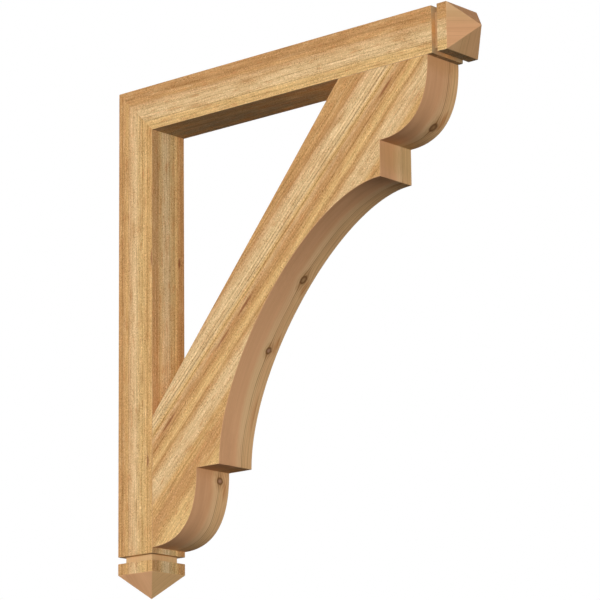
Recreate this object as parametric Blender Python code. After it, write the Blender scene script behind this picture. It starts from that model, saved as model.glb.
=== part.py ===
"""Wooden corbel bracket: a wall post and a top arm of square timber, mitred at the corner, with a scroll-sawn
brace across it. Each timber ends in a groove, a square collar and a four-sided point.

Frame: +X away from the wall, +Y across the timbers, +Z up. The origin is the middle of the post's wall face."""

import math

import bmesh
import bpy

# Driving dimensions, in metres.
TIMBER = 0.100  # side of the square timbers, and the thickness of the brace
HEIGHT = 1.110  # from the arm's top face down to the tip of the post
PROJECTION = 0.964  # from the wall out to the tip of the arm
POINT_LENGTH = 0.050  # the four-sided point that ends each timber
COLLAR_LENGTH = 0.0245  # the square collar behind the point
GROOVE_WIDTH = 0.0137  # the groove cut round each timber behind the collar
GROOVE_DEPTH = 0.012
SETBACK = 0.0115  # what shows of the arm and of the post between the brace and the groove
JOINT_GAP = 0.0003  # clearance between the faces that meet in a joint
ARM_SEAT = 0.2345  # length of the brace's seat under the arm
POST_SEAT = 0.278  # length of the brace's seat on the post
ROUND_REACH = 0.128  # the convex round at each end of the brace: its size along X
ROUND_DROP = 0.1527  # and its size along Z
UPPER_STEP = 0.0755  # upright face between the upper round and the hollow
LOWER_STEP = 0.0635  # level face between the hollow and the lower round

# Each round, and the hollow between them, is one cubic curve that is level at one end and upright at the other.
# A share is the length of a control arm over the curve's own size in that direction.
ROUND_LEVEL_SHARE = 0.73
ROUND_UPRIGHT_SHARE = 0.60
HOLLOW_LEVEL_SHARE = 0.424
HOLLOW_UPRIGHT_SHARE = 0.413
ROUND_SEGMENTS = 20
HOLLOW_SEGMENTS = 48

# Finish of each piece: base colour (linear) and roughness.
POST_COLOUR = (0.60, 0.37, 0.16)
ARM_COLOUR = (0.61, 0.38, 0.17)
BRACE_COLOUR = (0.60, 0.36, 0.16)
WOOD_ROUGHNESS = 0.72

# Places that follow from the sizes above.
HALF = TIMBER / 2
END_LENGTH = GROOVE_WIDTH + COLLAR_LENGTH + POINT_LENGTH
POST_FACE_LENGTH = HEIGHT - END_LENGTH
ARM_FACE_LENGTH = PROJECTION - END_LENGTH
TOP = POST_FACE_LENGTH / 2
MITRE_BACKSET = JOINT_GAP / math.sqrt(2)


def clear_scene():
    for old in list(bpy.data.objects):
        bpy.data.objects.remove(old)


def wood(name, colour):
    """A plain timber finish for one piece."""
    material = bpy.data.materials.new(name)
    material.use_nodes = True
    shader = material.node_tree.nodes["Principled BSDF"]
    shader.inputs["Base Color"].default_value = (*colour, 1.0)
    shader.inputs["Roughness"].default_value = WOOD_ROUGHNESS
    shader.inputs["Metallic"].default_value = 0.0
    return material


def object_from(name, builder, material):
    """A named object from a filled bmesh, with its faces turned out."""
    bmesh.ops.recalc_face_normals(builder, faces=builder.faces)
    mesh = bpy.data.meshes.new(name)
    builder.to_mesh(mesh)
    builder.free()
    mesh.materials.append(material)
    piece = bpy.data.objects.new(name, mesh)
    bpy.context.scene.collection.objects.link(piece)
    return piece


def timber(name, face_length, place, material):
    """A square timber with a mitred end, a groove, a collar and a point.

    place(along, outward, across) turns a timber's own measures into a place on the bracket: along runs from the
    bracket's outer corner, outward from the timber's centre line towards its outer face, and across along Y."""
    corners = [(1, -1), (1, 1), (-1, 1), (-1, -1)]
    collar_start = face_length + GROOVE_WIDTH
    neck = HALF - GROOVE_DEPTH
    sections = [
        (face_length, HALF),
        (face_length, neck),
        (collar_start, neck),
        (collar_start, HALF),
        (collar_start + COLLAR_LENGTH, HALF),
    ]
    builder = bmesh.new()

    # The mitre runs at 45 degrees, from the outer face at the corner to the inner face one timber along.
    mitre = [(HALF - out * HALF + MITRE_BACKSET, out * HALF, side * HALF) for out, side in corners]
    rings = [[builder.verts.new(place(*measures)) for measures in mitre]]
    for along, half in sections:
        rings.append([builder.verts.new(place(along, out * half, side * half)) for out, side in corners])
    tip = builder.verts.new(place(face_length + END_LENGTH, 0.0, 0.0))

    builder.faces.new(rings[0])
    for first, second in zip(rings, rings[1:]):
        for i in range(4):
            j = (i + 1) % 4
            builder.faces.new((first[i], first[j], second[j], second[i]))
    for i in range(4):
        builder.faces.new((rings[-1][i], rings[-1][(i + 1) % 4], tip))
    return object_from(name, builder, material)


def wall_post(material):
    def place(along, outward, across):
        return (HALF - outward, across, TOP - along)

    return timber("wall_post", POST_FACE_LENGTH, place, material)


def top_arm(material):
    def place(along, outward, across):
        return (along, across, TOP - HALF + outward)

    return timber("top_arm", ARM_FACE_LENGTH, place, material)


def cubic(start, start_arm, end_arm, end, segments):
    """Points (x, z) of a cubic curve after its start, up to and with its end."""
    points = []
    for i in range(1, segments + 1):
        t = i / segments
        weights = ((1 - t) ** 3, 3 * t * (1 - t) ** 2, 3 * t**2 * (1 - t), t**3)
        controls = (start, start_arm, end_arm, end)
        points.append(tuple(sum(w * c[k] for w, c in zip(weights, controls)) for k in (0, 1)))
    return points


def round_curve(start, end):
    """The convex round, from its upright upper end to its level lower end."""
    upright_arm = (start[0], start[1] - ROUND_UPRIGHT_SHARE * (start[1] - end[1]))
    level_arm = (end[0] + ROUND_LEVEL_SHARE * (start[0] - end[0]), end[1])
    return cubic(start, upright_arm, level_arm, end, ROUND_SEGMENTS)


def hollow_curve(start, end):
    """The concave sweep, from its level upper end to its upright lower end."""
    level_arm = (start[0] - HOLLOW_LEVEL_SHARE * (start[0] - end[0]), start[1])
    upright_arm = (end[0], end[1] + HOLLOW_UPRIGHT_SHARE * (start[1] - end[1]))
    return cubic(start, level_arm, upright_arm, end, HOLLOW_SEGMENTS)


def brace_outline():
    """The brace's outline in the XZ plane: under the arm, down the carved front, and back up the straight back."""
    post_face = TIMBER + JOINT_GAP
    arm_face = TOP - TIMBER - JOINT_GAP
    front = ARM_FACE_LENGTH - SETBACK
    foot = TOP - POST_FACE_LENGTH + SETBACK

    back_head = (front - ARM_SEAT, arm_face)
    upper_start = (front, arm_face)
    upper_end = (front - ROUND_REACH, arm_face - ROUND_DROP)
    hollow_start = (upper_end[0], upper_end[1] - UPPER_STEP)
    lower_end = (post_face, foot)
    lower_start = (post_face + ROUND_REACH, foot + ROUND_DROP)
    hollow_end = (lower_start[0] + LOWER_STEP, lower_start[1])
    back_foot = (post_face, foot + POST_SEAT)

    outline = [back_head, upper_start, *round_curve(upper_start, upper_end)]
    outline += [hollow_start, *hollow_curve(hollow_start, hollow_end)]
    outline += [lower_start, *round_curve(lower_start, lower_end)]
    return [*outline, back_foot]


def brace(material):
    """The brace, sawn to its outline from a plank as thick as the timbers."""
    builder = bmesh.new()
    near = builder.faces.new([builder.verts.new((x, -HALF, z)) for x, z in brace_outline()])
    swept = bmesh.ops.extrude_face_region(builder, geom=[near], use_keep_orig=True)
    far = [item for item in swept["geom"] if isinstance(item, bmesh.types.BMVert)]
    bmesh.ops.translate(builder, verts=far, vec=(0.0, TIMBER, 0.0))
    return object_from("brace", builder, material)


def build():
    clear_scene()
    wall_post(wood("post_wood", POST_COLOUR))
    top_arm(wood("arm_wood", ARM_COLOUR))
    brace(wood("brace_wood", BRACE_COLOUR))


build()
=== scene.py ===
"""Looks of the wooden corbel bracket: its three timbers as fine meshes with a sawn surface, their wood, the
studio and the camera. Metres, in the part's frame: +X away from the wall, +Y across the timbers, +Z up."""

import math

import bmesh
import bpy
import numpy as np
from mathutils import Matrix, Vector
from mathutils.geometry import delaunay_2d_cdt


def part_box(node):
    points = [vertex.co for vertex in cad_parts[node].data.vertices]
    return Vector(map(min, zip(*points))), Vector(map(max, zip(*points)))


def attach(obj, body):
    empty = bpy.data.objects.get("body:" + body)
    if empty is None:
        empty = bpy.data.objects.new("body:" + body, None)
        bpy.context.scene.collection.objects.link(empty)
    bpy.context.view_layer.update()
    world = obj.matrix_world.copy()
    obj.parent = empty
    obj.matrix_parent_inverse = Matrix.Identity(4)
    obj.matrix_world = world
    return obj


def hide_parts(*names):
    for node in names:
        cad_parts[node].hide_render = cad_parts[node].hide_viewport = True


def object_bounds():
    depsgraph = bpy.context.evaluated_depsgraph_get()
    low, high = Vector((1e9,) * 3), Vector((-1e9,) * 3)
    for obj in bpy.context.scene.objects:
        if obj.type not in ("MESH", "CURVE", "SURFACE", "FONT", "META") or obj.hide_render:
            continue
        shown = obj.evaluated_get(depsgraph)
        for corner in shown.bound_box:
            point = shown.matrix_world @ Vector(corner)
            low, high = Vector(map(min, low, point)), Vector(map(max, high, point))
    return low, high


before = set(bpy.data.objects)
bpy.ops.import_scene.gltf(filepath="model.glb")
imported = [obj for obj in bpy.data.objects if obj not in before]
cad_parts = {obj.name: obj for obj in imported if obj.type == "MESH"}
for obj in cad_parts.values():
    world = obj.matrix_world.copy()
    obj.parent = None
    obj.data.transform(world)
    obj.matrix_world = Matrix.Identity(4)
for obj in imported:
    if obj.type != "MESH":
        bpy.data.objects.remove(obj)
cad_low, cad_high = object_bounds()

BODY = "root"

# Fineness of the meshes.
ALONG_STEP = 0.0032  # between points along the grain of a sawn face
ACROSS_STEP = 0.0018  # and across it
CUT_STEP = 0.0035  # along the brace's sawn outline
CUT_ACROSS_STEP = 0.0033
END_STEP = 0.0025  # along a timber's groove and point
CURVE_PIECES = 8  # in a smooth line, between two of the points that it is drawn through
EDGE_CLEARANCE = 0.6 * ACROSS_STEP  # between the points inside a face and its outline
SIDE_OFFSET = 1.7  # between the grain coordinates of one side of a timber and the next
CHUNK = 2000  # points that are measured against an outline at once

# How near two measures are to count as the same.
WELD = 1e-6
NEAR_PLANE = 10 * WELD
SAME_POINT = 1e-7
LEVEL = 1e-12
DIGITS = 5

# The triangulation's mode that leaves out what lies outside the outline.
INSIDE_ONLY = 1

# Worn edges, and the surface that a saw leaves.
FILLET = 0.0006  # radius of the worn edges along a face
FILLET_ROOM = 1.2  # how much of the fillet's reach is kept free on both sides of an outline's corner
MOST_ROUNDED = 0.6  # share of a narrow face's half width that its fillet may take
EASE = 0.0005  # how far a corner of an outline is taken back
MITRE_EASE = 0.0002
SHARP_TURN = math.radians(20)
SHARP_EDGE = math.radians(40)  # edges that turn more than this aren't shaded smooth
SAWN_DEPTH = 0.00040
CUT_DEPTH = 0.00012
SAW_PITCH = 0.0095  # between the marks of the saw
SAW_SLANT = 0.12  # how far the marks lean along the grain, for each unit across it
SAW_WANDER = 5.0  # how far they stray from one patch to another, in radians of their wave
FADE = 0.0025  # over which the sawn surface dies out towards an edge
WEAR_REACH = 0.0035  # how far wear reaches in from an edge

# The frame's own sizes, read from the CAD nodes.
post_low, post_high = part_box("wall_post")
arm_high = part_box("top_arm")[1]
HALF = (post_high.y - post_low.y) / 2
TOP = arm_high.z
TIMBER = 2 * HALF


def value_noise(u, v, seed):
    """A smooth random field from 0 to 1 whose features are about one unit long and wide."""
    size = 256
    table = np.random.RandomState(seed).rand(size, size)
    i, j = np.floor(u).astype(int), np.floor(v).astype(int)
    s, t = u - i, v - j
    s, t = s * s * (3 - 2 * s), t * t * (3 - 2 * t)
    i, j, next_i, next_j = i % size, j % size, (i + 1) % size, (j + 1) % size
    near = table[i, j] * (1 - t) + table[i, next_j] * t
    far = table[next_i, j] * (1 - t) + table[next_i, next_j] * t
    return near * (1 - s) + far * s


def grain_noise(u, v, length, width, seed):
    """Noise with features about this long along the grain and this wide across it."""
    return value_noise(u / length, v / width, seed)


def sawn_relief(u, v, seed):
    """How deep a rough-sawn face lies at each point: hard grain's ridges, torn fibres and faint saw marks."""
    ridges = grain_noise(u, v, 0.16, 0.0042, seed)
    fibres = grain_noise(u, v, 0.012, 0.0021, seed + 1)
    patches = grain_noise(u, v, 0.05, 0.03, seed + 2)
    saw = 0.5 + 0.5 * np.sin(2 * math.pi * (u + SAW_SLANT * v) / SAW_PITCH + SAW_WANDER * patches)
    return SAWN_DEPTH * (0.4 * ridges + 0.3 * fibres + 0.3 * saw * patches)


def cut_relief(u, v, seed):
    """The slighter relief of a face that a fine saw has cut."""
    ridges = grain_noise(u, v, 0.09, 0.006, seed)
    waves = grain_noise(u, v, 0.011, 0.02, seed + 1)
    return CUT_DEPTH * (0.5 * ridges + 0.5 * waves)


class Shell:
    """A mesh put together from patches whose edges meet."""

    def __init__(self):
        self.points, self.depths, self.wear, self.faces, self.grain, self.kinds = [], [], [], [], [], []
        self.count = 0

    def patch(self, points, grain, depth, wear, faces, kind):
        """Points, their grain coordinates, depth under the face and wear, and the faces between them."""
        self.points.append(points)
        self.depths.append(depth)
        self.wear.append(wear)
        self.faces.extend((faces + self.count).tolist())
        self.grain.append(grain[faces.ravel()])
        self.kinds += [kind] * len(faces)
        self.count += len(points)

    def grid(self, points, grain, depth, wear, kind):
        """A patch of rows and columns of points."""
        rows, columns = points.shape[:2]
        index = np.arange(rows * columns).reshape(rows, columns)
        corners = (index[:-1, :-1], index[1:, :-1], index[1:, 1:], index[:-1, 1:])
        quads = np.stack(corners, -1).reshape(-1, 4)
        self.patch(points.reshape(-1, 3), grain.reshape(-1, 2), depth.ravel(), wear.ravel(), quads, kind)

    def build(self, name, materials):
        """Welds the patches, sinks each point by its depth and returns the object."""
        points = np.concatenate(self.points)
        cells = np.round(points / WELD).astype(np.int64)
        keys, first, owner = np.unique(cells, axis=0, return_index=True, return_inverse=True)
        owner = owner.ravel()
        depth = np.full(len(keys), np.inf)
        np.minimum.at(depth, owner, np.concatenate(self.depths))
        wear = np.zeros(len(keys))
        np.maximum.at(wear, owner, np.concatenate(self.wear))

        mesh = bpy.data.meshes.new(name)
        mesh.from_pydata(points[first].tolist(), [], [owner[face].tolist() for face in self.faces])
        grain = mesh.uv_layers.new(name="grain")
        grain.uv.foreach_set("vector", np.concatenate(self.grain).astype("f4").ravel())
        mesh.polygons.foreach_set("material_index", self.kinds)
        worn = mesh.attributes.new("wear", "FLOAT", "POINT")
        worn.data.foreach_set("value", wear.astype("f4"))
        for material in materials:
            mesh.materials.append(material)

        builder = bmesh.new()
        builder.from_mesh(mesh)
        bmesh.ops.recalc_face_normals(builder, faces=builder.faces)
        builder.to_mesh(mesh)
        builder.free()
        mesh.shade_smooth()
        mesh.set_sharp_from_angle(angle=SHARP_EDGE)
        normals = np.zeros(len(keys) * 3, "f4")
        mesh.vertex_normals.foreach_get("vector", normals)
        sunk = points[first] - normals.reshape(-1, 3) * depth[:, None]
        mesh.vertices.foreach_set("co", sunk.astype("f4").ravel())
        mesh.update()
        piece = bpy.data.objects.new(name, mesh)
        bpy.context.scene.collection.objects.link(piece)
        return piece


def along_line(points, step):
    """Points on a smooth line through the given ones, about a step apart."""
    if len(points) > 2:
        # A Catmull-Rom spline, carried on straight at both ends to give the end points a neighbour.
        padded = np.vstack([2 * points[0] - points[1], points, 2 * points[-1] - points[-2]])
        t = np.linspace(0, 1, CURVE_PIECES + 1)[:-1, None]
        rows = []
        for a, b, c, d in zip(padded, padded[1:], padded[2:], padded[3:]):
            rows.append(b + 0.5 * t * (c - a + t * (2 * a - 5 * b + 4 * c - d + t * (3 * (b - c) + d - a))))
        points = np.vstack([*rows, points[-1:]])
    lengths = np.concatenate([[0], np.cumsum(np.linalg.norm(np.diff(points, axis=0), axis=1))])
    at = np.linspace(0, lengths[-1], max(1, math.ceil(lengths[-1] / step)) + 1)
    return np.stack([np.interp(at, lengths, points[:, k]) for k in range(2)], -1)


def turn_at(before, corner, after):
    """The angle by which a line turns at a corner, positive to the left."""
    a, b = corner - before, after - corner
    return math.atan2(a[0] * b[1] - a[1] * b[0], float(a @ b))


def stretches(points, step, closed):
    """The runs between an outline's sharp corners. Each starts and ends in the middle of an eased corner."""
    count = len(points)
    inner = range(count) if closed else range(1, count - 1)
    turns = {i: turn_at(points[i - 1], points[i], points[(i + 1) % count]) for i in inner}
    corners = [i for i in inner if abs(turns[i]) > SHARP_TURN]

    def eased(i, towards):
        """The point where a corner's easing starts, on the way to the point before it or after it."""
        half_angle = (math.pi - abs(turns[i])) / 2
        reach = EASE + FILLET_ROOM * FILLET / math.tan(half_angle)
        way = points[towards % count] - points[i]
        return points[i] + way / np.linalg.norm(way) * reach

    def middle(i):
        return (eased(i, i - 1) + 2 * points[i] + eased(i, i + 1)) / 4

    ends = corners + [corners[0] + count] if closed else [0, *corners, count - 1]
    runs = []
    for first, last in zip(ends, ends[1:]):
        run = [points[i % count] for i in range(first, last + 1)]
        head, tail = [], []
        if first % count in corners:
            run[0] = eased(first % count, first + 1)
            head = [middle(first % count)]
        if last % count in corners:
            run[-1] = eased(last % count, last - 1)
            tail = [middle(last % count)]
        runs.append(np.vstack([*head, along_line(np.array(run), step), *tail]))
    return runs


def filled(outline, inside):
    """Triangles over a flat outline and the points inside it: the points, and each triangle's three."""
    points = np.vstack([outline, inside])
    corners = [Vector(point) for point in points]
    made = delaunay_2d_cdt(corners, [], [list(range(len(outline)))], INSIDE_ONLY, SAME_POINT)
    sources = np.array([found[0] for found in made[3]])
    return points, sources[np.array(made[2])]


# The two square timbers. Each has five materials: its sides, its inner face, its point, and its groove's neck
# and walls.
SIDE, FACE, POINT, NECK, WALL = range(5)
# The runs along a timber are its straight faces, the groove's wall, neck and other wall, the collar and the
# point. These are the finely cut ones, and the others are rough-sawn.
CUT_RUNS = {1: WALL, 2: NECK, 3: WALL, 5: POINT}
# A timber's four sides: the way each one faces and the way its columns run, as (outward, across), and its
# material.
TIMBER_SIDES = (
    ((0, -1), (-1, 0), SIDE),
    ((-1, 0), (0, 1), FACE),
    ((0, 1), (-1, 0), SIDE),
    ((1, 0), (0, 1), SIDE),
)


def timber_profile(node, measure):
    """The CAD node's end as points (along, half width), from the timber's straight faces to its tip."""
    along, outward = measure(np.array([v.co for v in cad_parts[node].data.vertices]))
    past_mitre = TIMBER + HALF
    found = {(round(a, DIGITS), round(abs(o), DIGITS)) for a, o in zip(along, outward) if a > past_mitre}
    profile, half = [], round(HALF, DIGITS)
    for level in sorted({a for a, _ in found}):
        halves = sorted((h for a, h in found if a == level), key=lambda h: abs(h - half))
        profile += [(level, h) for h in halves]
        half = halves[-1]
    return profile


def across_side(half, share, arc):
    """How far out and how far along its side each column of a timber lies, with the side's edges rounded."""
    radius = np.minimum(FILLET, MOST_ROUNDED * half)
    return half - radius + radius * np.cos(arc), share * (half - radius) + radius * np.sin(arc)


def on_side(face, way, lift, shift):
    """The same as (outward, across), for a side that faces one way and whose columns run the other."""
    return face[0] * lift + way[0] * shift, face[1] * lift + way[1] * shift


def timber_piece(node, place, measure, materials, seed):
    """A timber as rings of points along it: its straight faces, groove, collar and point."""
    end = timber_profile(node, measure)
    face_length, tip = end[0][0], end[-1]
    blunt_tip = (tip[0] - FILLET, FILLET)
    profile = np.array([(0.0, HALF - MITRE_EASE), (MITRE_EASE, HALF), *end[:-1], blunt_tip])
    runs = stretches(profile, END_STEP, closed=False)
    # The first run is the eased edge at the mitre, and the second the long straight faces.
    straight = stretches(profile, ALONG_STEP, closed=False)[1]
    runs = [np.vstack([runs[0], straight[1:]]), *runs[2:]]

    columns = round((TIMBER - 2 * FILLET) / ACROSS_STEP)
    share = np.concatenate([[-1, -1], np.linspace(-1, 1, columns + 1), [1, 1]])
    arc = np.radians([-45, -22.5, *[0] * (columns + 1), 22.5, 45])
    backset = measure(np.array([tuple(corner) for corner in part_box(node)]))[0].min()

    shell = Shell()
    caps = [[], []]
    for number, (face, way, kind) in enumerate(TIMBER_SIDES):
        for run_number, run in enumerate(runs):
            level, half = run[:, :1], run[:, 1:]
            lift, shift = across_side(half, share, arc)
            outward, across = on_side(face, way, lift, shift)
            mitre = HALF - outward + backset
            from_mitre = mitre + level / face_length * (face_length - mitre)
            along = np.where(level < face_length, from_mitre, level)
            grain = np.stack([along + number * SIDE_OFFSET, HALF + shift], -1)
            from_edge = half - np.abs(shift)
            from_end = np.minimum(level, np.abs(level - face_length))
            fade = np.clip(np.minimum(from_edge, from_end) / FADE, 0, 1)
            relief = cut_relief if run_number in CUT_RUNS else sawn_relief
            depth = relief(grain[..., 0], grain[..., 1], seed + 10 * number) * fade
            wear = np.clip(1 - from_edge / WEAR_REACH, 0, 1)
            shell.grid(place(along, outward, across), grain, depth, wear, CUT_RUNS.get(run_number, kind))
        for cap, ring in zip(caps, (0, -1)):
            lift, shift = across_side(runs[ring][ring, 1], share, arc)
            cap.append(np.stack(on_side(face, way, lift, shift), -1))

    # Each cap closes a ring of the four sides, without the point that the next side starts with. Two of the
    # sides run the other way round, so they are turned first.
    for cap, is_mitre in zip(caps, (True, False)):
        ring = np.vstack([cap[0][::-1][:-1], cap[3][:-1], cap[2][:-1], cap[1][::-1][:-1]])
        flat, triangles = filled(ring, np.zeros((0, 2)))
        along = HALF - flat[:, 0] + backset if is_mitre else np.full(len(flat), blunt_tip[0])
        none = np.zeros(len(flat))
        shell.patch(place(along, flat[:, 0], flat[:, 1]), flat, none, none, triangles, POINT)
    return shell.build(node + "_wood", materials)


def post_place(along, outward, across):
    return np.stack([HALF - outward, across, TOP - along], -1)


def post_measure(points):
    return TOP - points[:, 2], HALF - points[:, 0]


def arm_place(along, outward, across):
    return np.stack([along, across, TOP - HALF + outward], -1)


def arm_measure(points):
    return points[:, 0], points[:, 2] - TOP + HALF


# The brace has two materials: its sides, and the faces cut along its outline.
BRACE_SIDE, BRACE_CUT = range(2)


def cad_outline(node):
    """The outline of a node's near face as points (x, z), counter-clockwise from its upper outer corner."""
    builder = bmesh.new()
    builder.from_mesh(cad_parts[node].data)
    bmesh.ops.remove_doubles(builder, verts=builder.verts, dist=NEAR_PLANE)
    near = {f for f in builder.faces if all(abs(v.co.y + HALF) < NEAR_PLANE for v in f.verts)}
    edges = [e for e in builder.edges if len(near.intersection(e.link_faces)) == 1]
    links = {}
    for edge in edges:
        for a, b in (edge.verts, reversed(edge.verts)):
            links.setdefault(a, []).append(b)
    start = max(links, key=lambda v: (round(v.co.z, DIGITS), v.co.x))
    path, last, here = [start], None, start
    while True:
        following = [v for v in links[here] if v is not last][0]
        if following is start:
            break
        path.append(following)
        last, here = here, following
    points = np.array([(v.co.x, v.co.z) for v in path])
    builder.free()
    area = np.sum(points[:, 0] * np.roll(points[:, 1], -1) - np.roll(points[:, 0], -1) * points[:, 1])
    return points if area > 0 else np.vstack([points[:1], points[:0:-1]])


def inward(points):
    """The way in at each point of a closed counter-clockwise outline, as long as an offset of one needs."""
    edge = np.roll(points, -1, axis=0) - points
    edge /= np.linalg.norm(edge, axis=1)[:, None]
    normal = np.stack([-edge[:, 1], edge[:, 0]], -1)
    before = np.roll(normal, 1, axis=0)
    return (normal + before) / (1 + np.sum(normal * before, axis=1))[:, None]


def depth_inside(points, outline):
    """How far each point lies inside a closed outline, negative outside it."""
    a, b = outline, np.roll(outline, -1, axis=0)
    way = b - a
    # A level edge is never crossed, and this rise keeps the division by it from failing.
    rise = np.where(np.abs(way[:, 1]) < LEVEL, LEVEL, way[:, 1])
    result = np.empty(len(points))
    for start in range(0, len(points), CHUNK):
        x, y = points[start:start + CHUNK, :1], points[start:start + CHUNK, 1:]
        t = ((x - a[:, 0]) * way[:, 0] + (y - a[:, 1]) * way[:, 1]) / np.sum(way * way, axis=1)
        t = np.clip(t, 0, 1)
        distance = np.hypot(x - a[:, 0] - t * way[:, 0], y - a[:, 1] - t * way[:, 1]).min(1)
        spans = (a[:, 1] > y) != (b[:, 1] > y)
        crossings = spans & (x < a[:, 0] + (y - a[:, 1]) * way[:, 0] / rise)
        result[start:start + CHUNK] = np.where(crossings.sum(1) % 2, distance, -distance)
    return result


def brace_grain(points, foot):
    """Grain coordinates on the brace's sides: the grain runs at 45 degrees, and v counts from the foot."""
    x, z = points[..., 0] - foot[0], points[..., 1] - foot[1]
    return np.stack([(x + z) / math.sqrt(2), (x - z) / math.sqrt(2)], -1)


def brace_band(shell, outline, way_in, seed):
    """The cut faces along the brace's outline, with their two edges rounded."""
    columns = round((TIMBER - 2 * FILLET) / CUT_ACROSS_STEP)
    arc = np.radians([-90, -60, -30, *[0] * (columns + 1), 30, 60, 90])
    share = np.concatenate([[-1] * 3, np.linspace(-1, 1, columns + 1), [1] * 3])
    across = share * (HALF - FILLET) + FILLET * np.sin(arc)
    inset = FILLET * (1 - np.cos(arc))

    closed = np.vstack([outline, outline[:1]])
    closed_in = np.vstack([way_in, way_in[:1]])
    flat = closed[:, None, :] + closed_in[:, None, :] * inset[None, :, None]
    shape = flat.shape[:2]
    band = np.stack([flat[..., 0], np.broadcast_to(across, shape), flat[..., 1]], -1)
    # The outline ends with the carved front, upwards, so lengths are counted back from there.
    travelled = np.concatenate([[0], np.cumsum(np.linalg.norm(np.diff(closed, axis=0), axis=1))])
    along = np.broadcast_to((travelled[-1] - travelled)[:, None], shape)
    grain = np.stack([along, np.broadcast_to(across + HALF, shape)], -1)
    from_edge = np.broadcast_to(HALF - np.abs(across), shape)
    depth = cut_relief(grain[..., 0], grain[..., 1], seed) * np.clip(from_edge / FADE, 0, 1)
    shell.grid(band, grain, depth, np.clip(1 - from_edge / WEAR_REACH, 0, 1), BRACE_CUT)


def brace_sides(shell, edge, foot, seed):
    """The brace's two rough-sawn sides, which fill the outline inside its rounded edge."""
    turned = brace_grain(edge, foot)
    u = np.arange(turned[:, 0].min(), turned[:, 0].max(), ALONG_STEP)
    v = np.arange(turned[:, 1].min(), turned[:, 1].max(), ACROSS_STEP)
    u, v = (a.ravel() for a in np.meshgrid(u, v))
    inside = np.stack([foot[0] + (u + v) / math.sqrt(2), foot[1] + (u - v) / math.sqrt(2)], -1)
    inside = inside[depth_inside(inside, edge) > EDGE_CLEARANCE]
    flat, triangles = filled(edge, inside)
    from_edge = np.maximum(depth_inside(flat, edge), 0)
    wear = np.clip(1 - from_edge / WEAR_REACH, 0, 1)
    grain = brace_grain(flat, foot)
    for number, side in enumerate((-1, 1)):
        shifted = grain + np.array([number * SIDE_OFFSET, 0])
        depth = sawn_relief(shifted[:, 0], shifted[:, 1], seed) * np.clip(from_edge / FADE, 0, 1)
        points = np.stack([flat[:, 0], np.full(len(flat), side * HALF), flat[:, 1]], -1)
        shell.patch(points, shifted, depth, wear, triangles, BRACE_SIDE)


def brace_piece(materials, seed):
    """The brace: a band of cut faces along its outline, and two rough-sawn sides."""
    corners = cad_outline("brace")
    outline = np.vstack([run[:-1] for run in stretches(corners, CUT_STEP, closed=True)])
    way_in = inward(outline)
    # The back foot is the upper one of the two corners that meet the post.
    at_post = corners[corners[:, 0] < corners[:, 0].min() + NEAR_PLANE]
    foot = at_post[at_post[:, 1].argmax()]
    shell = Shell()
    brace_band(shell, outline, way_in, seed)
    brace_sides(shell, outline + way_in * FILLET, foot, seed + 20)
    return shell.build("brace_wood", materials)


# Wood.


def tone(red, green, blue):
    """Linear colour of a wood tone, given as a screen shows it in full light, from 0 to 255."""
    channels = [c / 255 for c in (red, green, blue)]
    linear = [c / 12.92 if c <= 0.04045 else ((c + 0.055) / 1.055) ** 2.4 for c in channels]
    return (*linear, 1.0)


RUSSET = tone(190, 141, 88)
TAN = tone(196, 148, 92)
HONEY = tone(204, 159, 100)
ROSE = tone(208, 166, 117)
SAND = tone(212, 176, 126)
CREAM = tone(218, 184, 134)
PALE = tone(229, 196, 145)
BUTTER = tone(216, 176, 116)
CLAY = tone(211, 159, 115)
ROSY = tone(219, 165, 119)
BLUSH = tone(226, 173, 126)
STRAW = tone(228, 187, 128)
FAWN = tone(213, 168, 119)
BISCUIT = tone(227, 185, 137)
WHEAT = tone(223, 179, 128)
AMBER = tone(192, 128, 74)
# Dim grey-brown tones that are painted shade, on the arm's underside and the groove walls.
SHADE_UMBER = tone(165, 144, 110)
SHADE_DRAB = tone(181, 151, 108)
HAZEL = tone(181, 140, 92)
DUN = tone(195, 161, 108)
OAT = tone(207, 179, 134)
KNOT_MAUVE = tone(180, 138, 112)
KNOT_TAN = tone(176, 136, 94)
KNOT_BROWN = tone(164, 124, 82)
KNOT_RIM = tone(118, 80, 46)
KNOT_HALO = tone(168, 118, 72)
RED_MARK = tone(140, 84, 52)
WORN = tone(222, 186, 140)

TINT_POWERS = (0.80, 1.0, 1.3)
BUMP_DISTANCE = 0.0006
SAWN_BUMP, CUT_BUMP = 0.55, 0.2  # strengths
SAWN_WEAR, CUT_WEAR = 0.32, 0.15  # how much of the worn tone the edges show
SPECULAR = 0.15
FIBRE_SLANT = 0.6  # how far torn fibres lean along the grain, for each unit across it
TORN_SHADE, FLUFF_GLEAM = 0.52, 0.33  # how much torn fibres darken a face and raised ones lighten it
POINT_SLANT = 0.7  # of the lines on a timber's cut faces after the near one
TURNED_SHARE = 0.65  # how much those faces show of the tones given for them
SIDE_MARGIN = 0.1  # before a side's grain coordinates, where no face has any
SPOT_REACH = 1.15  # where a spot has faded out, in its half lengths and half widths
# Round a knot, in its own half lengths and half widths: how far the lines bend, how far they are darker, and
# how large the halo is.
BEND_REACH, TAIL_REACH, HALO_REACH = (1.9, 2.2), (9.0, 1.6), (2.6, 1.5)
BEND = 0.85  # how strongly they bend, up to 1
HALO_STRENGTH, KNOT_STRENGTH = 0.75, 0.88
RING_TURNS, RING_SHADE = 22.0, 0.10  # a knot's rings, in radians from its edge to its heart


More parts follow.
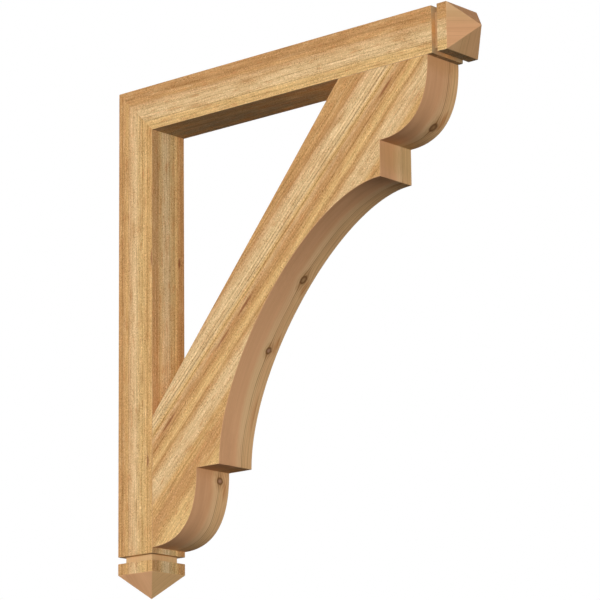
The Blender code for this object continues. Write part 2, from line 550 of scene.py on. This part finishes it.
class Graph:
    """Short calls for building one material's nodes. Values are sockets or plain numbers."""

    def __init__(self, name):
        self.material = bpy.data.materials.new(name)
        self.material.use_nodes = True
        self.nodes = self.material.node_tree.nodes
        self.shader = self.nodes["Principled BSDF"]
        grain = self.node("ShaderNodeUVMap", uv_map="grain")
        split = self.node("ShaderNodeSeparateXYZ")
        self.feed(split.inputs[0], grain.outputs[0])
        self.u, self.v = split.outputs[0], split.outputs[1]

    def node(self, kind, **settings):
        made = self.nodes.new(kind)
        for key, value in settings.items():
            setattr(made, key, value)
        return made

    def feed(self, socket, value):
        if isinstance(value, bpy.types.NodeSocket):
            self.material.node_tree.links.new(value, socket)
        else:
            socket.default_value = value

    def math(self, operation, *values):
        made = self.node("ShaderNodeMath", operation=operation)
        for socket, value in zip(made.inputs, values):
            self.feed(socket, value)
        return made.outputs[0]

    def spread(self, value, low, high, start=0.0, end=1.0):
        """Maps low..high to start..end and holds it there beyond."""
        made = self.node("ShaderNodeMapRange")
        for socket, number in zip(made.inputs, (value, low, high, start, end)):
            self.feed(socket, number)
        return made.outputs[0]

    def noise(self, length, width, seed, detail=2.0, u=None, v=None):
        """Noise around 0.5 whose features are about this long along the grain and this wide across it."""
        place = self.node("ShaderNodeCombineXYZ")
        self.feed(place.inputs[0], self.math("DIVIDE", self.u if u is None else u, length))
        self.feed(place.inputs[1], self.math("DIVIDE", self.v if v is None else v, width))
        self.feed(place.inputs[2], seed)
        made = self.node("ShaderNodeTexNoise")
        self.feed(made.inputs["Vector"], place.outputs[0])
        self.feed(made.inputs["Scale"], 1.0)
        self.feed(made.inputs["Detail"], detail)
        return made.outputs[0]

    def drift(self, length, width, seed, reach):
        """Noise around 0 that spans this reach."""
        return self.math("MULTIPLY_ADD", self.noise(length, width, seed), reach, -reach / 2)

    def ramp(self, value, stops):
        """A colour ramp through (place, colour) stops in order."""
        made = self.node("ShaderNodeValToRGB")
        elements = made.color_ramp.elements
        while len(elements) < len(stops):
            elements.new(0.5)
        for element, (place, _) in zip(elements, stops):
            element.position = place
        for element, (_, colour) in zip(elements, stops):
            element.color = colour
        self.feed(made.inputs[0], value)
        return made.outputs[0]

    def mix(self, factor, first, second):
        made = self.node("ShaderNodeMix", data_type="RGBA")
        # The node has sockets for other kinds of value too. These are the factor and the two colours.
        for number, value in ((0, factor), (6, first), (7, second)):
            self.feed(made.inputs[number], value)
        return made.outputs[2]

    def patched(self, colour, patch_tone, noise, low, high, amount):
        """The colour with patches of a tone, which come in where the noise rises from low to high."""
        return self.mix(self.spread(noise, low, high, 0.0, amount), colour, patch_tone)

    def tinted(self, colour, factor):
        """The colour times a factor that tells least in red and most in blue, so it browns as it darkens."""
        channels = self.node("ShaderNodeCombineXYZ")
        for socket, power in zip(channels.inputs, TINT_POWERS):
            self.feed(socket, self.math("POWER", factor, power))
        made = self.node("ShaderNodeVectorMath", operation="MULTIPLY")
        self.feed(made.inputs[0], colour)
        self.feed(made.inputs[1], channels.outputs[0])
        return made.outputs[0]

    def lines(self, place, growth_lines):
        """Darkness of growth lines, each (middle, half width, strength) in shares of the face."""
        stops = [(0.0, 0.0)]
        for middle, half_width, strength in growth_lines:
            stops += [(middle - half_width, 0.0), (middle, strength), (middle + half_width, 0.0)]
        return self.ramp(place, [(at, (level, level, level, 1)) for at, level in stops])

    def bell(self, along, length, off, width):
        """1 in the middle, falling off smoothly over this length and width."""
        along = self.math("POWER", self.math("DIVIDE", along, length), 2)
        off = self.math("POWER", self.math("DIVIDE", off, width), 2)
        return self.math("EXPONENT", self.math("MULTIPLY", self.math("ADD", along, off), -1.0))

    def spot(self, centre, half_length, half_width, ragged):
        """1 in the middle of a lens-shaped spot and 0 from its edge on, with a ragged outline."""
        along = self.math("DIVIDE", self.math("SUBTRACT", self.u, centre[0]), half_length)
        across = self.math("DIVIDE", self.math("SUBTRACT", self.v, centre[1]), half_width)
        squares = self.math("ADD", self.math("POWER", along, 2), self.math("POWER", across, 2))
        return self.spread(self.math("ADD", self.math("SQRT", squares), ragged), 0.0, SPOT_REACH, 1.0, 0.0)

    def from_side(self, number):
        """1 on a timber's side of this number and the sides after it, and 0 on those before."""
        start = number * SIDE_OFFSET
        return self.spread(self.u, start - SIDE_MARGIN, start - SIDE_MARGIN / 2)

    def finish(self, colour, roughness, height, strength, wear):
        """Worn edges, the roughness and the bump, then the material."""
        worn = self.node("ShaderNodeAttribute", attribute_name="wear").outputs["Fac"]
        patchy = self.spread(self.noise(0.02, 0.02, 9.7), 0.35, 0.7)
        worn = self.math("MULTIPLY", self.math("POWER", worn, 1.5), patchy)
        colour = self.mix(self.math("MULTIPLY", worn, wear), colour, WORN)
        bump = self.node("ShaderNodeBump")
        self.feed(bump.inputs["Height"], height)
        self.feed(bump.inputs["Strength"], strength)
        self.feed(bump.inputs["Distance"], BUMP_DISTANCE)
        self.feed(self.shader.inputs["Base Color"], colour)
        self.feed(self.shader.inputs["Roughness"], roughness)
        self.feed(self.shader.inputs["Normal"], bump.outputs[0])
        self.shader.inputs["Specular IOR Level"].default_value = SPECULAR
        return self.material


def sawn_wood(name, seed, low, high, bands, growth_lines, marks=(), wander=1.0):
    """Rough-sawn timber: bands of colour across the face, growth lines, streaks, torn fibres and resin marks.

    Bands and lines are placed by shares of the face, which reaches from low to high across the grain. Wander
    is how much they leave their straight course."""
    g = Graph(name)
    sway = g.drift(0.28, 0.035, seed, 0.006 * wander)
    wobble = g.drift(0.05, 0.012, seed + 1.3, 0.0014 * wander)
    across = g.math("ADD", g.math("ADD", g.v, sway), wobble)
    place = g.spread(across, low, high)

    # Bands, and redder, paler and amber patches over them.
    colour = g.ramp(place, bands)
    colour = g.patched(colour, RUSSET, g.noise(0.07, 0.020, seed + 2.1, 3.0), 0.50, 0.72, 0.6)
    colour = g.patched(colour, CREAM, g.noise(0.05, 0.012, seed + 3.7, 3.0), 0.55, 0.8, 0.4)
    colour = g.patched(colour, AMBER, g.noise(0.030, 0.007, seed + 3.1, 3.0), 0.56, 0.72, 0.5)

    # Streaks along the grain, and growth lines broken into dashes.
    broad = g.spread(g.noise(0.13, 0.0042, seed + 4.9, 2.0, v=across), 0.25, 0.75, 0.91, 1.27)
    fine = g.spread(g.noise(0.05, 0.0019, seed + 5.1, 1.0, v=across), 0.25, 0.75, 0.84, 1.13)
    streaks = g.math("MULTIPLY", broad, fine)
    colour = g.tinted(colour, streaks)
    dashes = g.spread(g.noise(0.0036, 0.0026, seed + 5.3, 1.0), 0.36, 0.62, 0.6, 1.7)
    darkness = g.math("MULTIPLY", g.lines(place, growth_lines), dashes)
    colour = g.tinted(colour, g.math("SUBTRACT", 1.0, darkness))

    # Torn fibres, in patches, and raised ones.
    slanted = g.math("ADD", g.u, g.math("MULTIPLY", g.v, FIBRE_SLANT))
    patches = g.spread(g.noise(0.06, 0.018, seed + 6.1), 0.35, 0.65, 0.35, 1.0)
    torn = g.spread(g.noise(0.0029, 0.0030, seed + 7.9, 1.0, u=slanted), 0.52, 0.70)
    torn = g.math("MULTIPLY", torn, patches)
    fluff = g.spread(g.noise(0.0030, 0.0028, seed + 8.3, 1.0, u=slanted), 0.52, 0.70)
    colour = g.tinted(colour, g.math("MULTIPLY_ADD", torn, -TORN_SHADE, 1.0))
    colour = g.tinted(colour, g.math("MULTIPLY_ADD", fluff, FLUFF_GLEAM, 1.0))

    ragged = g.drift(0.006, 0.0015, seed + 9.1, 0.9)
    for centre_u, centre_v, half_length, half_width, strength in marks:
        spot = g.spread(g.spot((centre_u, centre_v), half_length, half_width, ragged), 0.0, 0.55)
        colour = g.mix(g.math("MULTIPLY", spot, strength), colour, RED_MARK)

    roughness = g.spread(streaks, 0.80, 1.20, 0.90, 0.70)
    height = g.math("ADD", g.math("MULTIPLY", streaks, 2.0), g.math("SUBTRACT", fluff, torn))
    return g.finish(colour, roughness, height, SAWN_BUMP, SAWN_WEAR)


def passing_knots(g, across, knots):
    """The grain's course across a face, bent round the knots, and the lines beside them, which are darker."""
    beside = 0.0
    for centre_u, centre_v, half_length, half_width, _ in knots:
        along = g.math("SUBTRACT", g.u, centre_u)
        off = g.math("SUBTRACT", g.v, centre_v)
        near = g.bell(along, BEND_REACH[0] * half_length, off, BEND_REACH[1] * half_width)
        across = g.math("SUBTRACT", across, g.math("MULTIPLY", g.math("MULTIPLY", near, off), BEND))
        tail = g.bell(along, TAIL_REACH[0] * half_length, off, TAIL_REACH[1] * half_width)
        beside = g.math("MAXIMUM", beside, tail)
    return across, beside


def with_knots(g, colour, knots, feather, seed):
    """The colour with each knot's halo, rim and ringed heart."""
    ragged = g.drift(0.004, 0.003, seed, 0.4)
    for centre_u, centre_v, half_length, half_width, heart in knots:
        centre = (centre_u, centre_v)
        halo = g.spot(centre, HALO_REACH[0] * half_length, HALO_REACH[1] * half_width, feather)
        colour = g.mix(g.math("MULTIPLY", halo, HALO_STRENGTH), colour, KNOT_HALO)
        knot = g.spot(centre, half_length, half_width, ragged)
        inner = g.mix(g.spread(knot, 0.36, 0.80), KNOT_RIM, heart)
        wave = g.math("SINE", g.math("MULTIPLY", knot, RING_TURNS))
        rings = g.math("MULTIPLY_ADD", wave, RING_SHADE, 1 - RING_SHADE)
        colour = g.mix(g.spread(knot, 0.0, 0.3, 0.0, KNOT_STRENGTH), colour, g.tinted(inner, rings))
    return colour


def cut_wood(name, seed, bands, growth_lines, knots=(), tinges_and_shade=(), turned=None):
    """Finely sawn wood: bands of colour across the face, lines that pass round knots, the knots, and clouds.

    The clouds each have a tone of their own, and some of them are painted shade. Turned is for a timber's
    faces after the near one, where the lines run aslant: their tone, their middle along the grain, and the
    outer face's tone, which on the arm's point is a darker one as painted shade."""
    g = Graph(name)
    sway = g.drift(0.22, 0.05, seed, 0.014)
    wobble = g.drift(0.035, 0.01, seed + 1.3, 0.0016)
    across = g.math("ADD", g.math("ADD", g.v, sway), wobble)
    if turned:
        turned_tone, middle, outer_tone_and_shade = turned
        beyond_near, outermost = g.from_side(1), g.from_side(3)
        off = g.math("SUBTRACT", g.math("MODULO", g.u, SIDE_OFFSET), middle)
        across = g.math("MULTIPLY_ADD", g.math("MULTIPLY", beyond_near, off), POINT_SLANT, across)
    across, beside_knots = passing_knots(g, across, knots)
    place = g.spread(across, 0.0, TIMBER)

    # Bands, clouds and redder patches, the turned faces' tones, and the tinted clouds, some of which are
    # painted shade.
    colour = g.ramp(place, bands)
    colour = g.tinted(colour, g.spread(g.noise(0.09, 0.018, seed + 2.1, 3.0), 0.3, 0.7, 0.93, 1.06))
    colour = g.patched(colour, CLAY, g.noise(0.07, 0.02, seed + 3.3, 3.0), 0.5, 0.8, 0.4)
    if turned:
        colour = g.mix(g.math("MULTIPLY", beyond_near, TURNED_SHARE), colour, turned_tone)
        # The outermost face's tone; on the arm's point it is painted shade.
        colour = g.mix(g.math("MULTIPLY", outermost, TURNED_SHARE), colour, outer_tone_and_shade)
    feather = g.drift(0.012, 0.0022, seed + 8.1, 1.1)
    # Some of these clouds are painted shade on the brace's front, under the arm and at the two steps.
    for centre_u, centre_v, half_length, half_width, strength, cloud_tone in tinges_and_shade:
        tinge_and_shade = g.spot((centre_u, centre_v), half_length, half_width, feather)
        colour = g.mix(g.math("MULTIPLY", g.spread(tinge_and_shade, 0.0, 0.6), strength), colour, cloud_tone)

    # Streaks, and growth lines that fade in and out.
    streaks = g.spread(g.noise(0.13, 0.0026, seed + 4.7, 3.0, v=across), 0.25, 0.75, 0.95, 1.045)
    colour = g.tinted(colour, streaks)
    fading = g.spread(g.noise(0.06, 0.03, seed + 5.9), 0.3, 0.6, 0.6, 1.2)
    fading = g.math("MAXIMUM", fading, g.math("MULTIPLY", beside_knots, 1.35))
    if turned:
        fading = g.math("MULTIPLY", fading, g.math("ADD", beyond_near, 1.0))
    darkness = g.math("MULTIPLY", g.lines(place, growth_lines), fading)
    colour = g.tinted(colour, g.math("SUBTRACT", 1.0, darkness))
    colour = with_knots(g, colour, knots, feather, seed + 6.1)

    roughness = g.spread(streaks, 0.95, 1.045, 0.78, 0.62)
    height = g.math("ADD", g.math("MULTIPLY", streaks, 3.0), g.noise(0.004, 0.004, seed + 7.7))
    return g.finish(colour, roughness, height, CUT_BUMP, CUT_WEAR)


# Across the timbers' sides, from the outer face to the inner one, in shares of the timber: bands of colour as
# place and tone, and growth lines as place, half width and strength. A mark, in metres, is its middle along
# and across, its half length, its half width and its strength.
POST_SIDE_BANDS = (
    (0.00, RUSSET), (0.07, TAN), (0.12, RUSSET), (0.26, HONEY), (0.34, ROSE), (0.50, CREAM),
    (0.68, BUTTER), (0.78, BUTTER), (0.84, HONEY), (1.00, HONEY),
)
POST_SIDE_LINES = (
    (0.11, 0.024, 0.22), (0.30, 0.0144, 0.25), (0.545, 0.0144, 0.29), (0.605, 0.0144, 0.25),
    (0.645, 0.012, 0.22), (0.70, 0.0168, 0.43), (0.76, 0.012, 0.22), (0.855, 0.0168, 0.29),
)
POST_SIDE_MARKS = ((0.385, 0.098, 0.020, 0.0035, 0.75), (0.825, 0.087, 0.016, 0.0030, 0.75))

ARM_SIDE_BANDS = (
    (0.00, RUSSET), (0.22, RUSSET), (0.30, TAN), (0.38, ROSE), (0.50, SAND), (0.58, CREAM), (0.72, CREAM),
    (0.82, BUTTER), (1.00, BUTTER),
)
ARM_SIDE_LINES = (
    (0.19, 0.036, 0.16), (0.335, 0.0144, 0.16), (0.465, 0.012, 0.16), (0.62, 0.0168, 0.22),
    (0.69, 0.012, 0.16), (0.774, 0.0168, 0.31), (0.89, 0.0168, 0.25), (0.96, 0.012, 0.16),
)

# The same across the timbers' inner faces, from the near side to the far side. The outer faces look like the
# sides. The arm's inner face is its underside, and its dim grey-brown tones are painted shade.
ARM_UNDERSIDE_SHADE_BANDS = ((0.00, SHADE_UMBER), (0.30, SHADE_DRAB), (0.50, SHADE_UMBER), (0.75, SHADE_UMBER), (0.85, SHADE_DRAB), (1.00, SHADE_UMBER))
ARM_FACE_LINES = ((0.22, 0.024, 0.13), (0.47, 0.0144, 0.16), (0.71, 0.0144, 0.16))
POST_FACE_BANDS = (
    (0.00, HAZEL), (0.17, HAZEL), (0.25, DUN), (0.36, OAT), (0.50, OAT), (0.60, DUN), (0.68, DUN),
    (0.75, BUTTER), (0.86, RUSSET), (1.00, RUSSET),
)
POST_FACE_LINES = (
    (0.16, 0.024, 0.15), (0.39, 0.0144, 0.18), (0.46, 0.012, 0.18), (0.54, 0.0168, 0.30),
    (0.68, 0.024, 0.18), (0.80, 0.0144, 0.18), (0.91, 0.0144, 0.24),
)
POST_FACE_MARKS = ((0.383 + SIDE_OFFSET, 0.085, 0.012, 0.004, 0.85),)

# The same across the brace's sides, in metres from the back foot to the carved front.
BRACE_SIDE_LOW, BRACE_SIDE_HIGH = -0.060, 0.240
BRACE_WANDER = 0.45
BRACE_SIDE_BANDS = (
    (-0.055, TAN), (-0.034, TAN), (-0.024, RUSSET), (-0.017, ROSE), (-0.005, CREAM), (0.006, PALE),
    (0.016, CREAM), (0.021, CREAM), (0.0265, BUTTER), (0.033, HONEY), (0.038, ROSE), (0.047, RUSSET),
    (0.057, TAN), (0.066, HONEY), (0.076, BUTTER), (0.088, TAN), (0.105, CREAM), (0.130, SAND),
    (0.140, HONEY), (0.152, HONEY), (0.163, RUSSET), (0.188, TAN), (0.205, BUTTER), (0.225, BUTTER),
)
BRACE_SIDE_LINES = (
    (-0.041, 0.0024, 0.26), (-0.031, 0.0018, 0.18), (-0.023, 0.0018, 0.12), (0.002, 0.0014, 0.30),
    (0.0095, 0.0016, 0.44), (0.0175, 0.0017, 0.50), (0.030, 0.0018, 0.44), (0.057, 0.0024, 0.32),
    (0.086, 0.0022, 0.22), (0.148, 0.0022, 0.22),
)
BRACE_SIDE_MARKS = (
    (0.020, 0.0475, 0.030, 0.0034, 0.8), (0.240, 0.0475, 0.034, 0.0034, 0.7),
    (0.330, 0.0475, 0.034, 0.0036, 0.85), (0.875, 0.0475, 0.030, 0.0034, 0.8),
)

# Across the brace's carved front the near half is plain, and the far half has lines and knots. A knot is its
# middle along and across, its half length and half width, and its heart's tone.
CUT_BANDS = (
    (0.00, CLAY), (0.32, CLAY), (0.47, ROSY), (0.60, BISCUIT), (0.68, BISCUIT), (0.78, WHEAT),
    (1.00, WHEAT),
)
CUT_LINES = (
    (0.585, 0.012, 0.08), (0.645, 0.012, 0.12), (0.70, 0.015, 0.58), (0.742, 0.016, 0.32),
    (0.79, 0.012, 0.24), (0.87, 0.018, 0.30), (0.94, 0.012, 0.18),
)
FRONT_KNOTS = (
    (0.141, 0.0715, 0.0112, 0.0095, KNOT_BROWN), (0.6225, 0.0715, 0.0110, 0.0088, KNOT_TAN),
    (0.790, 0.0720, 0.0082, 0.0086, KNOT_MAUVE), (1.125, 0.0715, 0.0080, 0.0094, KNOT_MAUVE),
)
# Clouds on the front: middle along and across, half length, half width, strength and tone. The amber ones lie
# beside the knots. The others darken the top under the arm and the two steps as painted shade, hide the pale
# stripe there and lighten the hollow.
FRONT_TINGES_AND_SHADE = (
    (0.010, 0.056, 0.115, 0.028, 0.75, CLAY), (0.258, 0.058, 0.045, 0.020, 0.60, SAND),
    (0.004, 0.050, 0.030, 0.090, 0.50, RUSSET), (0.255, 0.030, 0.040, 0.040, 0.50, TAN),
    (0.250, 0.086, 0.055, 0.026, 0.60, DUN), (1.083, 0.050, 0.040, 0.090, 0.55, RUSSET),
    (0.800, 0.030, 0.240, 0.060, 0.60, BLUSH), (0.860, 0.062, 0.160, 0.016, 0.45, PALE),
    (0.122, 0.0865, 0.026, 0.0060, 0.70, AMBER), (0.640, 0.0875, 0.024, 0.0060, 0.60, AMBER),
    (0.775, 0.0885, 0.024, 0.0055, 0.60, AMBER), (1.143, 0.0870, 0.024, 0.0060, 0.60, AMBER),
    (0.925, 0.0860, 0.045, 0.0050, 0.45, AMBER), (0.320, 0.0730, 0.026, 0.0050, 0.45, AMBER),
)

# The timbers' grooves and points, each across one side of the timber.
POST_NECK_BANDS = ((0.00, SAND), (0.35, ROSE), (0.62, SAND), (1.00, ROSE))
ARM_NECK_BANDS = ((0.00, ROSE), (0.35, ROSE), (0.62, ROSE), (1.00, SAND))
# The groove walls' darker tones are painted shade in the groove.
WALL_SHADE_BANDS = ((0.00, SHADE_UMBER), (0.50, TAN), (1.00, SHADE_UMBER))
POST_POINT_BANDS = ((0.00, BLUSH), (0.35, ROSY), (0.62, BLUSH), (1.00, BLUSH))
ARM_POINT_BANDS = ((0.00, BISCUIT), (0.28, FAWN), (0.55, ROSY), (1.00, ROSY))
POINT_LINES = (
    (0.22, 0.012, 0.09), (0.31, 0.010, 0.06), (0.41, 0.012, 0.11), (0.57, 0.012, 0.08),
    (0.66, 0.010, 0.06), (0.74, 0.012, 0.10), (0.88, 0.012, 0.08),
)


def shares(entries, low, high):
    """Places in metres turned into shares of the range, with widths where an entry has one."""
    span = high - low
    made = []
    for place, *rest in entries:
        if len(rest) == 2:
            rest = [rest[0] / span, rest[1]]
        made.append(((place - low) / span, *rest))
    return made


def timber_woods(name, seed, sides, faces, neck_bands, point_bands, turned):
    """A timber's materials. Sides and faces are each bands, growth lines and marks."""
    side = sawn_wood(name + "_side", seed, 0.0, TIMBER, *sides)
    face = sawn_wood(name + "_face", seed + 20, 0.0, TIMBER, *faces)
    point = cut_wood(name + "_point", seed + 40, point_bands, POINT_LINES, turned=turned)
    neck = cut_wood(name + "_neck", seed + 60, neck_bands, POINT_LINES)
    wall = cut_wood(name + "_wall", seed + 80, WALL_SHADE_BANDS, POINT_LINES)
    return [side, face, point, neck, wall]


def brace_woods(seed):
    reach = (BRACE_SIDE_LOW, BRACE_SIDE_HIGH)
    bands, growth_lines = shares(BRACE_SIDE_BANDS, *reach), shares(BRACE_SIDE_LINES, *reach)
    side = sawn_wood("brace_side", seed, *reach, bands, growth_lines, BRACE_SIDE_MARKS, BRACE_WANDER)
    front = cut_wood("brace_front", seed + 20, CUT_BANDS, CUT_LINES, FRONT_KNOTS, FRONT_TINGES_AND_SHADE)
    return [side, front]


# Studio and camera.

CENTRE = (cad_low + cad_high) / 2
# Each broad light: the way from the object towards it, its width in degrees, its strength, and whether gloss
# shows it. Two are in front, and one behind above.
LAMPS = {
    "left": (Vector((-0.628, -0.774, 0.090)), 40.0, 2.33, True),
    "right": (Vector((0.862, -0.498, -0.095)), 40.0, 2.27, True),
    "back": (Vector((-0.55, 0.60, 0.58)), 60.0, 2.7, False),
}
LAMP_DISTANCE = 4.0
SHADOW_SHARE = 0.35  # of each light that casts shadows
# The dome's brightness rises between these heights on the unit sphere, and has these values at them.
DOME_LOW, DOME_HIGH = -0.6, 0.8
DOME_BELOW, DOME_ABOVE = 0.0, 0.12
FLOOR_LEVEL = -8.5
FLOOR_REACH = 60.0
FLOOR_GLOW = 0.96


def soft_sun(name, way, width, strength, gloss):
    """Light that is as strong all over the object, from a disc. Only part of it casts shadows, because the
    photograph's are faint."""
    for kind, share in (("shading", SHADOW_SHARE), ("filling", 1 - SHADOW_SHARE)):
        light = bpy.data.lights.new(name + "_" + kind, "SUN")
        light.angle = math.radians(width)
        light.energy = strength * share
        light.use_shadow = kind == "shading"
        lamp = bpy.data.objects.new(name + "_" + kind, light)
        lamp.location = CENTRE + way.normalized() * LAMP_DISTANCE
        lamp.rotation_euler = way.to_track_quat("Z", "Y").to_euler()
        lamp.visible_glossy = gloss
        bpy.context.scene.collection.objects.link(lamp)


def studio_world():
    """White to the camera, and to the object a soft dome that is darker below."""
    world = bpy.data.worlds.new("studio")
    bpy.context.scene.world = world
    world.use_nodes = True
    nodes, links = world.node_tree.nodes, world.node_tree.links
    ray = nodes.new("ShaderNodeLightPath")
    place = nodes.new("ShaderNodeTexCoord")
    split = nodes.new("ShaderNodeSeparateXYZ")
    dome = nodes.new("ShaderNodeMapRange")
    for socket, value in zip(dome.inputs[1:], (DOME_LOW, DOME_HIGH, DOME_BELOW, DOME_ABOVE)):
        socket.default_value = value
    shown = nodes.new("ShaderNodeMix")
    shown.inputs["B"].default_value = 1.0
    links.new(place.outputs["Generated"], split.inputs[0])
    links.new(split.outputs["Z"], dome.inputs["Value"])
    links.new(ray.outputs["Is Camera Ray"], shown.inputs["Factor"])
    links.new(dome.outputs["Result"], shown.inputs["A"])
    links.new(shown.outputs["Result"], nodes["Background"].inputs["Strength"])
    nodes["Background"].inputs["Color"].default_value = (1, 1, 1, 1)


def floor():
    """A plain pale floor, far enough below to leave views from under the bracket free."""
    material = bpy.data.materials.new("pale_floor")
    material.use_nodes = True
    shader = material.node_tree.nodes["Principled BSDF"]
    shader.inputs["Base Color"].default_value = (0, 0, 0, 1)
    shader.inputs["Emission Color"].default_value = (1, 1, 1, 1)
    shader.inputs["Emission Strength"].default_value = FLOOR_GLOW
    shader.inputs["Specular IOR Level"].default_value = 0.0
    mesh = bpy.data.meshes.new("floor")
    signs = ((-1, -1), (1, -1), (1, 1), (-1, 1))
    mesh.from_pydata([(x * FLOOR_REACH, y * FLOOR_REACH, FLOOR_LEVEL) for x, y in signs], [], [(0, 1, 2, 3)])
    mesh.materials.append(material)
    plane = bpy.data.objects.new("floor", mesh)
    plane.visible_diffuse = False
    plane.visible_glossy = False
    plane.visible_shadow = False
    bpy.context.scene.collection.objects.link(plane)


# The camera's place and turn, found from the photograph's vanishing lines.
CAMERA_AT = Vector((4.42610, -4.52839, -1.45277))
CAMERA_AZIMUTH = 0.7174624
CAMERA_ELEVATION = 0.2337873
CAMERA_ROLL = -0.0119472
CAMERA_LENS = 179.93
SENSOR_WIDTH = 36.0
SEES_UP_TO = 100.0


def camera():
    right = Vector((math.cos(CAMERA_AZIMUTH), math.sin(CAMERA_AZIMUTH), 0))
    level = Vector((-math.sin(CAMERA_AZIMUTH), math.cos(CAMERA_AZIMUTH), 0))
    ahead = level * math.cos(CAMERA_ELEVATION) + Vector((0, 0, math.sin(CAMERA_ELEVATION)))
    up = right.cross(ahead)
    across = right * math.cos(CAMERA_ROLL) + up * math.sin(CAMERA_ROLL)
    upright = up * math.cos(CAMERA_ROLL) - right * math.sin(CAMERA_ROLL)
    lens = bpy.data.cameras.new("camera")
    lens.sensor_width = SENSOR_WIDTH
    lens.lens = CAMERA_LENS
    lens.clip_end = SEES_UP_TO
    made = bpy.data.objects.new("camera", lens)
    turn = Matrix((across, upright, -ahead)).transposed().to_4x4()
    made.matrix_world = Matrix.Translation(CAMERA_AT) @ turn
    bpy.context.scene.collection.objects.link(made)
    bpy.context.scene.camera = made


bpy.context.scene.view_settings.view_transform = "Standard"
camera()
floor()
studio_world()
for lamp_name, settings in LAMPS.items():
    soft_sun(lamp_name, *settings)

post_sides = (POST_SIDE_BANDS, POST_SIDE_LINES, POST_SIDE_MARKS)
post_faces = (POST_FACE_BANDS, POST_FACE_LINES, POST_FACE_MARKS)
post_woods = timber_woods("post", 11.0, post_sides, post_faces, POST_NECK_BANDS, POST_POINT_BANDS,
                          (STRAW, TOP - post_low.z - HALF / 2, STRAW))
arm_sides = (ARM_SIDE_BANDS, ARM_SIDE_LINES, ())
arm_faces = (ARM_UNDERSIDE_SHADE_BANDS, ARM_FACE_LINES, ())
# The arm point's top face takes a darker amber, painted shade for the little light from above.
arm_woods = timber_woods("arm", 111.0, arm_sides, arm_faces, ARM_NECK_BANDS, ARM_POINT_BANDS,
                         (FAWN, arm_high.x - HALF / 2, AMBER))
post = timber_piece("wall_post", post_place, post_measure, post_woods, 100)
arm = timber_piece("top_arm", arm_place, arm_measure, arm_woods, 200)
brace = brace_piece(brace_woods(211.0), 300)
for piece, node, slot in (
    (post, "wall_post", "post_wood"),
    (arm, "top_arm", "arm_wood"),
    (brace, "brace", "brace_wood"),
):
    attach(piece, BODY)
    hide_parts(node)
